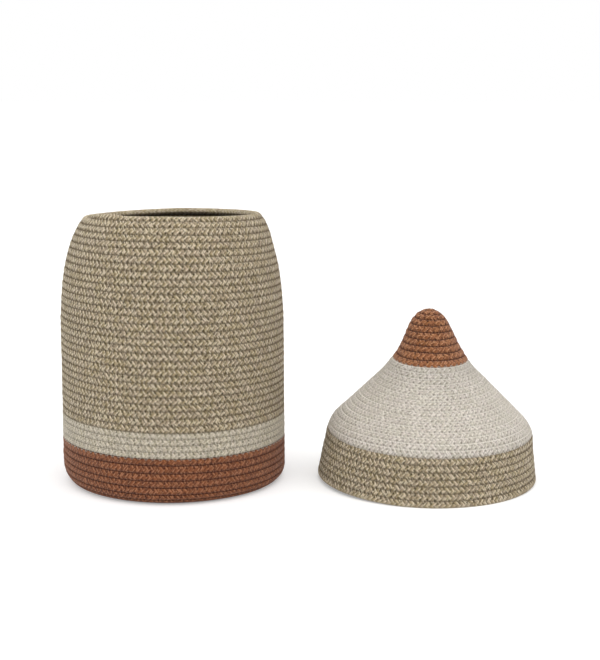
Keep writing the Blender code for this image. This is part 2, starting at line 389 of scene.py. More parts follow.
# %% Drift of the rows
basket_drift = [
    (0, 0, 0, 0), (114, 0, 0, 0), (132, 0, 0, 1.2), (156, -0.4, -0.4, 0), (192, -0.5, 0.3, 0.4),
    (234, -1.5, 0.8, 0.5), (274, -2.5, 1.6, 0.8), (314, -2.5, 1.4, 0.5), (354, -2.2, 1.1, -0.1),
    (394, -1.4, 1.2, -0.6), (418, -1.7, 1.2, -0.5), (446, -0.5, 1.2, -0.5)]
lid_drift = [
    (0, 0.2, 0.2, 3.7), (37, 0.8, 0.3, 4.1), (71, 3.3, 0.1, 4.2), (98, 3.4, 0.3, 5.0),
    (126, 2.8, -0.5, 5.9), (147, 3.5, -0.5, 5.5), (165, 3.9, -0.7, 2.5), (184, 4.6, -0.9, 1.2),
    (211, 3.9, -0.9, 0), (249, 0, 0, 0)]


def drift_of(table):
    """How far rows have drifted along the outline, at an angle and an outline length."""
    lengths, even, leaning, sides = np.array(table).T * mm

    def drift(angle, length):
        amounts = [np.interp(length, lengths, amount) for amount in (even, leaning, sides)]
        across = np.cos(angle)
        return amounts[0] - amounts[1] * across + amounts[2] * across ** 2

    return drift


print("lengths with a drift: basket", len(basket_drift), "lid", len(lid_drift))

# %% Settled basket
rim_sink = 3.9 * mm
rim_left_sink = 1.8 * mm
far_left_sink = 0.9 * mm
far_left = (0, 0.6)
sinking_heights = (240 * mm, 314 * mm)
tail_lift = 5.0 * mm
tail_lift_angle = math.radians(212)
tail_reach = (0.85, 0.99)
tail_heights = (309 * mm, 315 * mm)
rim_push = 3.4 * mm
pushed_heights = (268 * mm, 308 * mm)
foot_left_in = 4.0 * mm
foot_heights = (0, 26 * mm)
foot_radii = (90 * mm, 125 * mm)
wall_in = ((0, 60, 120, 200, 260, 300), (0.2, 0.5, 1.0, 1.2, 1.0, 1.6))


def settle_basket(angle, radius, height):
    """Sinks the rim at the back and left, lifts its tail, pushes it out at the right."""
    across = np.cos(angle)
    left = np.maximum(-across, 0)
    left_sink = rim_left_sink + far_left_sink * smooth_step(np.sin(angle), *far_left)
    sink = rim_sink * (1 + np.sin(angle)) / 2 + left_sink * left
    sink = sink * smooth_step(height, *sinking_heights)
    tail = smooth_step(np.cos(angle - tail_lift_angle), *tail_reach)
    sink = sink - tail_lift * tail * smooth_step(height, *tail_heights)
    right = np.maximum(across, 0) ** 2
    push = rim_push * right * smooth_step(height, *pushed_heights)
    low = (1 - smooth_step(height, *foot_heights)) * smooth_step(radius, *foot_radii)
    squeeze = np.interp(height / mm, *wall_in) * mm * np.abs(across) + foot_left_in * left * low
    return radius + push - squeeze, height - sink


print(f"the rim sinks by {rim_sink / mm:.1f} mm at the back")

# %% Settled lid
lid_left = (
    (0, 10, 20, 29, 38, 47, 57, 66, 75, 84, 93, 115, 140, 151, 160, 168, 176, 183, 191, 200),
    (2.0, 1.4, 0.4, -0.1, -0.8, -1.8, -2.1, -1.2, 0, -0.2, -1.0, -1.2, -0.8, -2.1, -1.9, -1.7,
     -0.9, -0.4, -1.4, -1.6))
lid_right = (
    (0, 12, 30, 38, 47, 57, 66, 75, 92, 115, 140, 150, 160, 175, 183, 191),
    (-1.0, -1.3, -1.1, -0.8, -0.3, 0.7, 0.4, -0.6, 0, 0.5, 0, 0.3, -0.5, -0.4, -0.6, -1.6))


def settle_lid(angle, radius, height):
    """Leans the lid's sides in or out by a few millimetres."""
    across = np.cos(angle)
    left = np.interp(height / mm, *lid_left) * np.maximum(-across, 0) ** 2
    right = np.interp(height / mm, *lid_right) * np.maximum(across, 0) ** 2
    return radius + (left + right) * mm, height


print("the lid's left leans by", min(lid_left[1]), "to", max(lid_left[1]), "mm")

# %% [markdown]
# The two coils
#
# The heights at which the colours change are read at the front, half a turn from the seam, so
# the knots stand at half turns, and whole rows fill what lies between them. Two turns are bare:
# no row is sewn on the basket's last, which ends at the front left as a tail, or under the
# lid's first, which stands on the floor.

# %% Wound basket
cream_start = basket_line.length_at_height(53.0 * mm)
oat_start = basket_line.length_at_height(82.4 * mm)
mouth = basket_line.lengths[-1]
tail_stop = 0.67

flat_end = basket_radius - foot_round
terracotta_end = math.ceil((cream_start - flat_end) / terracotta_cord + 0.5)
cream_end = terracotta_end + rows_in(oat_start - cream_start, cream_cord)
oat_end = cream_end + rows_in(mouth - oat_start, oat_cord)
tail_end = oat_end - 1 + tail_stop
base_edge = cream_start - (terracotta_end - 0.5) * terracotta_cord
base_first = 1 - base_edge / terracotta_cord
knots = [(1, base_edge), (terracotta_end + 0.5, cream_start), (cream_end + 0.5, oat_start),
         (oat_end + 0.5, mouth)]
uneven = ((0, 1, 2, terracotta_end, terracotta_end + 1), (0, 0, 0.4 * mm, 0.4 * mm, 0.22 * mm))
basket_coil = Coil("basket", basket_line, knots, (0, 0), drift_of(basket_drift), settle_basket,
                   uneven, base_first)
basket_coil.bare = (-math.inf, tail_end - 1)
print("basket rows:", terracotta_end, cream_end - terracotta_end, oat_end - cream_end)

# %% Wound lid
lid_place = (296 * mm, -10 * mm)
cream_start = lid_line.length_at_height(52.0 * mm)
tip_start = lid_line.length_at_height(136.2 * mm)
top = lid_line.lengths[-1]

skirt_end = rows_in(cream_start, oat_cord)
cone_end = skirt_end + rows_in(tip_start - cream_start, cream_cord)
tip_end = cone_end + rows_in(top - tip_start, terracotta_cord)
knots = [(0.5, 0), (skirt_end + 0.5, cream_start), (cone_end + 0.5, tip_start),
         (tip_end + 0.5, top)]
uneven = ((0, cone_end - 1, cone_end + 1, tip_end - 1), (0.25 * mm, 0.2 * mm, 0.4 * mm, 0.1 * mm))
lid_coil = Coil("lid", lid_line, knots, lid_place, drift_of(lid_drift), settle_lid, uneven, 0)
lid_coil.bare = (1, math.inf)
print("lid rows:", skirt_end, cone_end - skirt_end, tip_end - cone_end)

# %% [markdown]
# The braid in relief
#
# The cord is braided from eight strands that climb round it, half of them to the left and half
# to the right. They take turns to lie on top: in one column of the braid the strands that lean
# one way, in the next those that lean the other way, and together they make arrow heads that
# point along the cord. Little more than two columns show on a row. The arrow heads sit a little
# above its middle, and the cord twists as it is wound, so they wander up and down. Sweeping
# every strand would take millions of faces, so a strand is a ridge on one swept cord. It
# fades where the strand dives under the others. The same rule shapes the material later.

# %% Relief
braid_repeat = 5.3 * mm
steps_per_repeat = 5
columns_in_half = 1.2
column_lift = 0.34
strand_slant = -0.6
strand_offset = 0.4
strand_shape = 2.4
strand_dive = (-0.9, 0.2)


def strand(share):
    """The ridge of one strand: 0 in the gap beside it and 1 along its crest."""
    place = share - np.floor(share)
    return 1 - np.abs(2 * place - 1) ** strand_shape


def braid(run, place):
    """Height of the braid, 0 to 1, after a number of repeats and at a place in columns."""
    column = np.sin(math.pi * place)
    falling = strand(run + strand_slant * place) * smooth_step(column, *strand_dive)
    rising = strand(run - strand_slant * place + strand_offset) * smooth_step(-column, *strand_dive)
    return np.maximum(falling, rising)


print(f"arrow heads in a metre of cord: {1 / braid_repeat:.0f}")

# %% [markdown]
# The cord's section
#
# Sewn side by side, the cords are pressed together and turn from round to cushion-shaped. Such
# a section is a superellipse: the squarer it is, the flatter the rows and the narrower the
# grooves, and the harder a row is pressed into the next, the shallower they are. The section
# has many points on the face that shows the braid, and few on the inner side of the wall. They
# are spaced so that a strand moves on by one point while the sweep moves on by one step. The
# edges of the mesh then follow the strands, which stay crisp with few faces.

# %% Section
face_points = (-0.97, -0.857, -0.571, -0.286, 0, 0.286, 0.571, 0.857, 0.97)
inner_points = (0.93, 0, -0.93)
point_across = np.array(face_points + inner_points)
point_side = np.array([1] * len(face_points) + [-1] * len(inner_points))
columns_round = 8
halfway_round = np.where(point_side > 0, 0, columns_round / 2)
point_place = columns_in_half * point_across * point_side + halfway_round


def cord_section(squareness):
    """Out and up, each -1 to 1, and the normal, for each point round a cord."""
    out = (1 - np.abs(point_across) ** squareness) ** (1 / squareness)
    normal_out = out ** (squareness - 1)
    normal_up = np.sign(point_across) * np.abs(point_across) ** (squareness - 1)
    size = np.hypot(normal_out, normal_up)
    points = [point_side * out, point_across, point_side * normal_out / size, normal_up / size]
    return np.stack(points, 1)


print("points round a cord:", len(point_across))

# %% [markdown]
# Meshes from arrays
#
# A few metres of braided cord are a hundred thousand triangles. Adding them one by one would be
# slow, so each mesh is filled from whole arrays. A triangle's long edge runs along the strand
# that lies on top there.

# %% Meshes
def add_piece(name, body, points, triangles, maps, material, slot):
    """A smooth mesh from arrays, with its UV maps, riding on a body."""
    mesh = bpy.data.meshes.new(name)
    mesh.vertices.add(len(points))
    mesh.vertices.foreach_set("co", points.astype(np.float32).ravel())
    mesh.loops.add(3 * len(triangles))
    mesh.loops.foreach_set("vertex_index", triangles.astype(np.int32).ravel())
    mesh.polygons.add(len(triangles))
    mesh.polygons.foreach_set("loop_start", np.arange(0, 3 * len(triangles), 3, dtype=np.int32))
    mesh.update(calc_edges=True)
    for label, places in maps.items():
        layer = mesh.uv_layers.new(name=label)
        layer.uv.foreach_set("vector", places[triangles.ravel()].astype(np.float32).ravel())
    mesh.shade_smooth()
    mesh.materials.append(material)
    piece = placed(name, mesh)
    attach(piece, body)
    return piece


def joined_rings(place):
    """Triangles between rings, split along the strands that lie on top at each place."""
    steps, columns = place.shape
    low = np.arange(steps - 1)[:, None] * columns
    here = np.arange(columns)[None, :]
    following = (here + 1) % columns
    a, b = low + here, low + following
    c, d = a + columns, b + columns
    middle = (place + np.roll(place, -1, 1))[1:] / 2
    falls = np.sin(math.pi * middle) < 0
    first = np.where(falls[..., None], np.stack([a, c, b], -1), np.stack([a, c, d], -1))
    second = np.where(falls[..., None], np.stack([b, c, d], -1), np.stack([a, d, b], -1))
    return np.concatenate([first.reshape(-1, 3), second.reshape(-1, 3)])


def end_caps(top, columns):
    """Triangles that close both ends, each round one more point that comes after all rings."""
    here = np.arange(columns)
    following = (here + 1) % columns
    near = np.full(columns, top + columns)
    start_cap = np.stack([here, following, near], 1)
    end_cap = np.stack([top + following, top + here, near + 1], 1)
    return np.concatenate([start_cap, end_cap])

# %% [markdown]
# Sweeping a cord
#
# A curve with a bevel could make a plain tube, but it can't press rows together, follow the
# outline or carry a braid. So each cord is swept by hand: at every step the section is laid on
# the outline at that turn's angle, and the relief pushes its points out. Three UV maps keep
# numbers for the material: cord_run has the repeats along the cord and the columns passed round
# it, row_place the place across the row, where the grooves are at -1 and 1, and how far inside
# the wall a point lies, and sewn_run the count of stitches. On a bare edge the place across
# stops near the row's middle, so that no groove, pit or prick shows there. A kind of cord is
# its height, how square its section is, how hard it is pressed, the depth of its braid, its
# material and its slot.

# %% Parts of the sweep
bare_edge = 0.1
tail_tip = 0.55
twist_size = 0.25
twist_rate = 4
twist_seed = 50
level_height = 0.6
inner_relief = 0.3


def taper(turn, end, length):
    """How full the cord is near an end that tapers over a length in turns."""
    if not length:
        return 1.0
    return tail_tip + (1 - tail_tip) * np.clip(np.abs(turn - end) / length, 0, 1)


def laid_braid(run, turn, relief, seed):
    """Each point's place round the cord, in columns, and how far the braid lifts it."""
    twist = wander(twist_rate * turn, twist_size, seed + twist_seed)
    place = point_place[None, :] - column_lift + twist[:, None]
    height = relief * (braid(run[:, None], place) - level_height)
    height[:, len(face_points):] *= inner_relief
    return place, height


def place_in_row(coil, turn, press):
    """Each point's place across its row, and 1 where it lies inside the wall."""
    no_row_below = turn[:, None] < coil.bare[0]
    no_row_above = turn[:, None] > coil.bare[1]
    across = press * point_across
    across = np.where(no_row_below, np.maximum(across, -bare_edge), across)
    across = np.where(no_row_above, np.minimum(across, bare_edge), across)
    # Painted shade: the material darkens the inner side of the wall, and on the bare top row it
    # spares the top of the cord.
    inside = np.where(point_side > 0, 0, 1)
    inside = np.where(no_row_above, inside * (1 - np.maximum(point_across, 0)), inside)
    return across, inside

# %% Sweep
least_thickness = 0.4
bulge_size = 0.16 * mm
pinch_depth = 0.15 * mm


def sweep_cord(name, coil, first, last, kind, seed, start_taper=0.0, end_taper=0.0):
    """Winds one cord of a coil between two turns, with tapered ends where they show."""
    cord, squareness, press, relief, material, slot = kind
    section = cord_section(squareness)
    turns, lengths = coil.run(first, last)
    step = braid_repeat / steps_per_repeat
    count = round(lengths[-1] / step)
    along = np.arange(count + 1) * step
    turn = np.interp(along, lengths, turns)
    run = along / braid_repeat
    low = coil.groove(turn)
    half = (coil.groove(turn + 1) - low) / 2
    full = np.ones_like(turn) * taper(turn, first, start_taper) * taper(turn, last, end_taper)
    middle = low + half * full
    thick = cord / 2 * (least_thickness + (1 - least_thickness) * full)
    bulge = wander(turn, bulge_size, seed)
    place, height = laid_braid(run, turn, relief, seed)
    across, inside = place_in_row(coil, turn, press)
    lower_stitch = coil.stitches(turn)[:, None]
    upper_stitch = coil.stitches(turn + 1)[:, None] + 0.5
    stitch = np.where(point_across > 0, upper_stitch, lower_stitch)
    pinch = np.maximum(np.cos(math.tau * stitch), 0) ** 3 * np.minimum(np.abs(across), 1) ** 2
    height -= pinch_depth * pinch
    out = section[None, :, 0] * (thick + bulge)[:, None] + height * section[None, :, 2]
    up = section[None, :, 1] * (half * full * press)[:, None] + height * section[None, :, 3]
    points = coil.place(turn[:, None], middle[:, None] + up, cord / 2 - out)
    points[..., 2] = np.maximum(points[..., 2], 0)
    columns = len(section)
    ends = np.stack([points[0].mean(0), points[-1].mean(0)])
    triangles = np.concatenate([joined_rings(place), end_caps(count * columns, columns)])
    maps = {}
    pairs = {"cord_run": (run[:, None], place), "row_place": (across, inside),
             "sewn_run": (lower_stitch, upper_stitch)}
    for label, pair in pairs.items():
        values = np.stack([np.broadcast_to(value, place.shape) for value in pair], -1)
        maps[label] = np.concatenate([values.reshape(-1, 2), values[0, :1], values[-1, :1]])
    points = np.vstack([points.reshape(-1, 3), ends])
    piece = add_piece(name, coil.body, points, triangles, maps, material, slot)
    print(f"{name}: {lengths[-1]:.2f} m of cord, {len(triangles)} triangles")
    return piece

# %% [markdown]
# Shader helpers
#
# A node group could be drawn by hand in the editor. Written as small sums it can be read and
# changed like the rest of the lesson. Each helper adds one kind of node and joins its inputs.

# %% Node helpers
def new_group(name, inputs):
    """An empty shader node group, and the values that are given to it."""
    group = bpy.data.node_groups.new(name, "ShaderNodeTree")
    for label, value in inputs.items():
        socket = group.interface.new_socket(label, in_out="INPUT", socket_type="NodeSocketFloat")
        socket.default_value = value
    return group, group.nodes.new("NodeGroupInput").outputs


def put_out(group, values):
    """Gives a group its output sockets, and joins them."""
    for label in values:
        group.interface.new_socket(label, in_out="OUTPUT", socket_type="NodeSocketFloat")
    result = group.nodes.new("NodeGroupOutput")
    for label, value in values.items():
        group.links.new(value, result.inputs[label])
    return group


def smooth_range(tree, value, low, high):
    """A smooth rise from 0 to 1 between two values."""
    node = tree.nodes.new("ShaderNodeMapRange")
    node.interpolation_type = "SMOOTHSTEP"
    feed(tree, node.inputs["Value"], value)
    feed(tree, node.inputs["From Min"], low)
    feed(tree, node.inputs["From Max"], high)
    return node.outputs["Result"]


def chance(tree, *values):
    """A random number from 0 to 1 that stays the same for the same three values."""
    joined = tree.nodes.new("ShaderNodeCombineXYZ")
    for socket, value in zip(joined.inputs, values):
        feed(tree, socket, value)
    node = tree.nodes.new("ShaderNodeTexWhiteNoise")
    node.noise_dimensions = "3D"
    tree.links.new(joined.outputs[0], node.inputs["Vector"])
    return node.outputs["Value"]


def parts_of(tree, vector):
    """The three numbers of a vector."""
    node = tree.nodes.new("ShaderNodeSeparateXYZ")
    tree.links.new(vector, node.inputs[0])
    return node.outputs


def map_of(tree, name):
    """The two numbers of a UV map."""
    uv = tree.nodes.new("ShaderNodeUVMap")
    uv.uv_map = name
    return parts_of(tree, uv.outputs[0])[:2]

# %% [markdown]
# The needle's pricks
#
# At every stitch the needle leaves a small dark hole, once in the row above the groove and half
# a stitch later in the row below. The sewn_run map counts the stitches, and the nearest whole
# number is the nearest prick. No hand sews evenly, so the pricks stray and some are faint.

# %% Needle pricks
needle_across = 0.50
needle_reach = 1.4 * mm
needle_stray = 0.16
prick_edge = (0.6, 1.0)


def needle_pricks(group, across, edge):
    """How dark a prick shows at each place, from 0 to 1."""
    calc = calculator(group)
    lower_sewn, upper_sewn = map_of(group, "sewn_run")
    above = calc("GREATER_THAN", across, 0.0)
    sewn = calc("MULTIPLY_ADD", above, calc("SUBTRACT", upper_sewn, lower_sewn), lower_sewn)
    stitch = calc("ROUND", sewn)
    hand = chance(group, stitch, above, 3.0)
    stray = calc("MULTIPLY_ADD", hand, needle_stray, -needle_stray / 2)
    nearest = calc("ADD", calc("SUBTRACT", sewn, stitch), stray)
    along = calc("MULTIPLY", nearest, stitch_repeat / needle_reach)
    aside = calc("MULTIPLY", calc("SUBTRACT", edge, needle_across), oat_cord / 2 / needle_reach)
    squares = calc("ADD", calc("MULTIPLY", along, along), calc("MULTIPLY", aside, aside))
    prick = calc("SUBTRACT", 1.0, smooth_range(group, calc("SQRT", squares), *prick_edge))
    return calc("MULTIPLY", prick, calc("MULTIPLY_ADD", hand, 0.5, 0.5))

# %% [markdown]
# The braid in the material
#
# Yarns are finer than the mesh can follow: each strand is a flat ribbon of a few yarns side by
# side. The group reads the maps and works out, by the rule of the mesh, which strand lies on
# top. From the place across that strand it gives the height of the strand, the gap beside it,
# which is darkened as painted shadow, and the line between two yarns. Every strand carries the
# same set of yarns: one of them is always light, a painted highlight that shows as a thin
# stroke, a second is light on some strands, and the others are of the ground shade or darker.
# Where strands dive between two columns they leave a small hole, and over the row's edge they
# leave dark pits. Gaps fade over the row's top and inside the wall, where the mesh is coarse.

# %% Braid group
yarns_in_strand = 5.0
# The yarn that is light on every strand: a painted highlight.
highlight_yarn = 1.0
second_light_yarn = 3.0
edge_lift = 0.06
painted_dive = (-0.8, 0.2)
behind_from = (0.85, 1.3)
behind_fade = 0.85
gap_depth = (0.1, 0.6)
pit_across = (0.60, 0.85)
column_width = (0.1, 0.6)
diving_height = (0.15, 0.6)


def braid_group():
    """Heights, masks and yarns of the braid, from the maps of a swept cord."""
    group, given = new_group("braid", {"Yarns": yarns_in_strand})
    calc = calculator(group)
    run, place = map_of(group, "cord_run")
    across, inside = map_of(group, "row_place")
    column = calc("SINE", calc("MULTIPLY", place, math.pi))
    sides = []
    ridges = []
    for sign, offset in ((1, 0.0), (-1, strand_offset)):
        passed = calc("ADD", calc("MULTIPLY_ADD", place, sign * strand_slant, run), offset)
        share = calc("FRACT", passed)
        spread = calc("ABSOLUTE", calc("MULTIPLY_ADD", share, 2.0, -1.0))
        ridge = calc("SUBTRACT", 1.0, calc("POWER", spread, strand_shape))
        towards = calc("MULTIPLY", column, float(sign))
        on_top = smooth_range(group, towards, *painted_dive)
        sides.append((calc("MULTIPLY", ridge, on_top), share, calc("FLOOR", passed)))
        ridges.append(ridge)
    upper_wins = calc("GREATER_THAN", sides[0][0], sides[1][0])
    height = calc("MAXIMUM", sides[0][0], sides[1][0])

    def picked(upper, lower):
        return calc("MULTIPLY_ADD", upper_wins, calc("SUBTRACT", upper, lower), lower)

    share = picked(sides[0][1], sides[1][1])
    number = picked(sides[0][2], sides[1][2])
    yarn = calc("MULTIPLY", share, given["Yarns"])
    yarn_number = calc("FLOOR", yarn)
    luck = chance(group, number, yarn_number, upper_wins)
    strand_luck = chance(group, number, upper_wins, 7.0)
    # The highlight yarn is light on every strand, a painted highlight; the second light yarn is a
    # light yarn of the melange on some strands only.
    second_light = calc("MULTIPLY", calc("COMPARE", yarn_number, second_light_yarn, 0.5),
                        calc("MULTIPLY", strand_luck, 0.8))
    highlight_and_light_yarn = calc("MAXIMUM", calc("COMPARE", yarn_number, highlight_yarn, 0.5), second_light)

    edge = calc("ABSOLUTE", calc("ADD", across, edge_lift))
    behind = calc("MAXIMUM", inside, smooth_range(group, place, *behind_from))
    face = calc("MULTIPLY_ADD", behind, -behind_fade, 1.0)
    gap = calc("MULTIPLY", face, calc("SUBTRACT", 1.0, smooth_range(group, height, *gap_depth)))
    outer = smooth_range(group, edge, *pit_across)
    from_middle = smooth_range(group, calc("ABSOLUTE", column), *column_width)
    between = calc("SUBTRACT", face, from_middle, clamp=True)
    diving = calc("SUBTRACT", 1.0, smooth_range(group, ridges[0], *diving_height))

    return put_out(group, {
        "Height": height,
        "Gap": gap,
        "Hole": calc("MULTIPLY", between, diving),
        "Pit": calc("MULTIPLY", calc("MULTIPLY", gap, outer),
                    calc("MULTIPLY_ADD", strand_luck, 0.6, 0.4)),
        "Needle": needle_pricks(group, across, edge),
        "Edge": edge,
        # Where the material paints shade on the inner side of the wall.
        "Inside": inside,
        "Yarn Line": calc("SINE", calc("MULTIPLY", calc("FRACT", yarn), math.pi)),
        "Yarn Tone": calc("MULTIPLY_ADD", luck, 0.45, calc("MULTIPLY", highlight_and_light_yarn, 0.55)),
    })


braid_nodes = braid_group()
print("nodes in the braid group:", len(braid_nodes.nodes))

# %% [markdown]
# Cotton fibres
#
# Cotton is matt and a little hairy. Under the braid lies a fine cloud of fibres that breaks up
# every flat tone, a cloud of a few strands' length in which the shade turns yellower or greyer,
# and a wide slow cloud, because no dye bath is even. Their sizes are in millimetres. All are
# noise in the object's own space, so they don't depend on how the mesh is laid out. The height
# above the floor is put out as well, for a painted shade near the lid's tip.

# %% Cotton group
def cotton_group():
    """Three clouds of cotton, and the height above the floor."""
    sizes = {"Fibre Size": 0.6, "Patch Size": 9.0, "Cloud Size": 45.0}
    group, given = new_group("cotton", sizes)
    place = group.nodes.new("ShaderNodeTexCoord").outputs["Object"]
    values = {}
    for label, detail in (("Fibre", 2.0), ("Patch", 1.0), ("Cloud", 1.0)):
        noise = group.nodes.new("ShaderNodeTexNoise")
        scale = calculator(group)("DIVIDE", 1000.0, given[f"{label} Size"])
        group.links.new(place, noise.inputs["Vector"])
        group.links.new(scale, noise.inputs["Scale"])
        noise.inputs["Detail"].default_value = detail
        values[label] = noise.outputs["Fac"]
    values["Upward"] = parts_of(group, place)["Z"]
    return put_out(group, values)


cotton_nodes = cotton_group()
print("nodes in the cotton group:", len(cotton_nodes.nodes))

# %% [markdown]
# Cord finishes
#
# A cord's colour is built up as a dyer would see it, with painted light and shade laid over it.
# The ground is the shade of the yarn, and it turns towards a second shade in patches. Some yarns
# are lighter and some darker, and the light yarn that every strand carries is a painted
# highlight. The gaps between strands, the holes and pits and the needle's pricks are dark with
# painted shadow and lint. The groove between two rows is darkened with painted shade too, except
# on the lid's cream, where it is lightened with a painted highlight of the rows' edges. Oat is a
# melange of light and brown yarns, so its yarns differ most. Cream is quiet, and terracotta has
# red-brown gaps. The lid's cords come from other dye lots: its cream is whiter and its
# terracotta is paler, and its cream is darkened towards the tip with painted shade. Inside the
# wall all cords are darkened with painted shade.

# %% Cotton surface
def mixed(tree, share, first, second):
    """A mix of two colours."""
    node = tree.nodes.new("ShaderNodeMix")
    node.data_type = "RGBA"
    feed(tree, node.inputs[0], share)
    for socket, value in ((node.inputs[6], first), (node.inputs[7], second)):
        feed(tree, socket, value if isinstance(value, bpy.types.NodeSocket) else (*value, 1.0))
    return node.outputs[2]


def new_cotton(name):
    """A material with the cotton group in its node tree."""
    material = bpy.data.materials.new(name)
    material.use_nodes = True
    cotton = material.node_tree.nodes.new("ShaderNodeGroup")
    cotton.node_tree = cotton_nodes
    return material, material.node_tree, cotton.outputs


def cotton_look(tree, cotton, colour, tone):
    """Sets the matt cotton surface of a material, with its colour scaled by a tone."""
    shader = tree.nodes["Principled BSDF"].inputs
    scale = tree.nodes.new("ShaderNodeVectorMath")
    scale.operation = "SCALE"
    feed(tree, scale.inputs[0], colour)
    tree.links.new(tone, scale.inputs["Scale"])
    tree.links.new(scale.outputs[0], shader["Base Color"])
    rough = calculator(tree)("MULTIPLY_ADD", cotton["Fibre"], -0.08, 0.97)
    tree.links.new(rough, shader["Roughness"])
    shader["Specular IOR Level"].default_value = 0.2
    shader["Sheen Weight"].default_value = 0.1
    shader["Sheen Roughness"].default_value = 0.6
    return shader

# %% Cord material
patch_turns = (0.35, 0.65)
patch_share = 0.7
yarn_crest = (0.1, 0.7)
strand_top = (0.2, 0.6)
light_tones = (0.48, 0.72)
dark_tones = (0.06, 0.22)
groove_fray = 0.16
groove_edge = (0.86, 1.04)
inside_shade_from = (0.1, 0.6)
# How dark the painted shade on the inner side of the wall is.
inside_painted_shade = 0.75
# Heights over which the lid's cream is darkened with painted shade.
tip_shade_heights = (105 * mm, 138 * mm)
yarn_relief = 0.35
fibre_relief = 0.3
prick_relief = -0.8
bump_strength = 0.9
bump_distance = 0.4 * mm


def cord_material(name, ground, patch, light_and_highlight, dark, dark_yarns, gap, hole, pit, needle, groove,
                  painted_groove_tone=None, cloud=0.12, fibre=0.5, tip_painted_shade=0.0):
    """Matt braided cotton: four shades, and how strongly each part of the pattern shows."""
    material, tree, cotton = new_cotton(name)
    calc = calculator(tree)
    braid_part = tree.nodes.new("ShaderNodeGroup")
    braid_part.node_tree = braid_nodes
    pattern = braid_part.outputs

    turned = smooth_range(tree, cotton["Patch"], *patch_turns)
    colour = mixed(tree, calc("MULTIPLY", turned, patch_share), ground, patch)
    # Light yarns and a painted highlight, shown where the strand is raised.
    crest = smooth_range(tree, pattern["Yarn Line"], *yarn_crest)
    high = smooth_range(tree, pattern["Height"], *strand_top)
    light_yarn_and_highlight = smooth_range(tree, pattern["Yarn Tone"], *light_tones)
    colour = mixed(tree, calc("MULTIPLY", light_yarn_and_highlight, calc("MULTIPLY", crest, high)), colour, light_and_highlight)
    dim = calc("SUBTRACT", 1.0, smooth_range(tree, pattern["Yarn Tone"], *dark_tones))
    colour = mixed(tree, calc("MULTIPLY", dim, dark_yarns), colour, dark)
    # Painted shadow in the gaps, holes, pits and needle pricks.
    for label, amount in (("Gap", gap), ("Hole", hole), ("Pit", pit), ("Needle", needle)):
        colour = mixed(tree, calc("MULTIPLY", pattern[label], amount), colour, dark)
    # Painted shade in the groove between two rows; where the painted groove tone is light, as on
    # the lid's cream, it is a painted highlight of the rows' edges.
    frayed = calc("MULTIPLY_ADD", cotton["Fibre"], groove_fray, pattern["Edge"])
    groove_shadow_mask = smooth_range(tree, frayed, *groove_edge)
    colour = mixed(tree, calc("MULTIPLY", groove_shadow_mask, groove), colour, painted_groove_tone or dark)
    # Painted shade on the inner side of the wall.
    inside_shade_mask = smooth_range(tree, pattern["Inside"], *inside_shade_from)
    colour = mixed(tree, calc("MULTIPLY", inside_shade_mask, inside_painted_shade), colour, dark)
    tone = calc("MULTIPLY_ADD", cotton["Cloud"], cloud, 1 - cloud / 2)
    # Painted shade: darker towards the lid's tip.
    tip_shade_mask = smooth_range(tree, cotton["Upward"], *tip_shade_heights)
    tone = calc("MULTIPLY", tone, calc("MULTIPLY_ADD", tip_shade_mask, -tip_painted_shade, 1.0))
    tone = calc("MULTIPLY", tone, calc("MULTIPLY_ADD", cotton["Fibre"], fibre, 1 - fibre / 2))
    shader = cotton_look(tree, cotton, colour, tone)

    relief = calc("MULTIPLY_ADD", pattern["Yarn Line"], yarn_relief, pattern["Height"])
    relief = calc("MULTIPLY_ADD", cotton["Fibre"], fibre_relief, relief)
    relief = calc("MULTIPLY_ADD", pattern["Needle"], prick_relief, relief)
    bump = tree.nodes.new("ShaderNodeBump")
    bump.inputs["Strength"].default_value = bump_strength
    bump.inputs["Distance"].default_value = bump_distance
    tree.links.new(relief, bump.inputs["Height"])
    tree.links.new(bump.outputs["Normal"], shader["Normal"])
    return material


def thread_material(name, shade):
    """Plain matt sewing thread with uneven twist."""
    material, tree, cotton = new_cotton(name)
    tone = calculator(tree)("MULTIPLY_ADD", cotton["Fibre"], 0.6, 0.7)
    cotton_look(tree, cotton, shade, tone)
    return material

# %% Finishes
oat = cord_material(
    "oat_melange_cord", ground=(0.38, 0.30, 0.17), patch=(0.41, 0.325, 0.235),
    light_and_highlight=(0.93, 0.83, 0.63), dark=(0.035, 0.024, 0.010), dark_yarns=0.4, gap=0.75, hole=0.9,
    pit=1.0, needle=1.0, groove=0.42)
cream = cord_material(
    "cream_cord", ground=(0.52, 0.46, 0.34), patch=(0.52, 0.46, 0.38),
    light_and_highlight=(0.86, 0.79, 0.66), dark=(0.12, 0.10, 0.06), dark_yarns=0.3, gap=0.25, hole=0.8,
    pit=0.7, needle=1.0, groove=0.6, cloud=0.06)
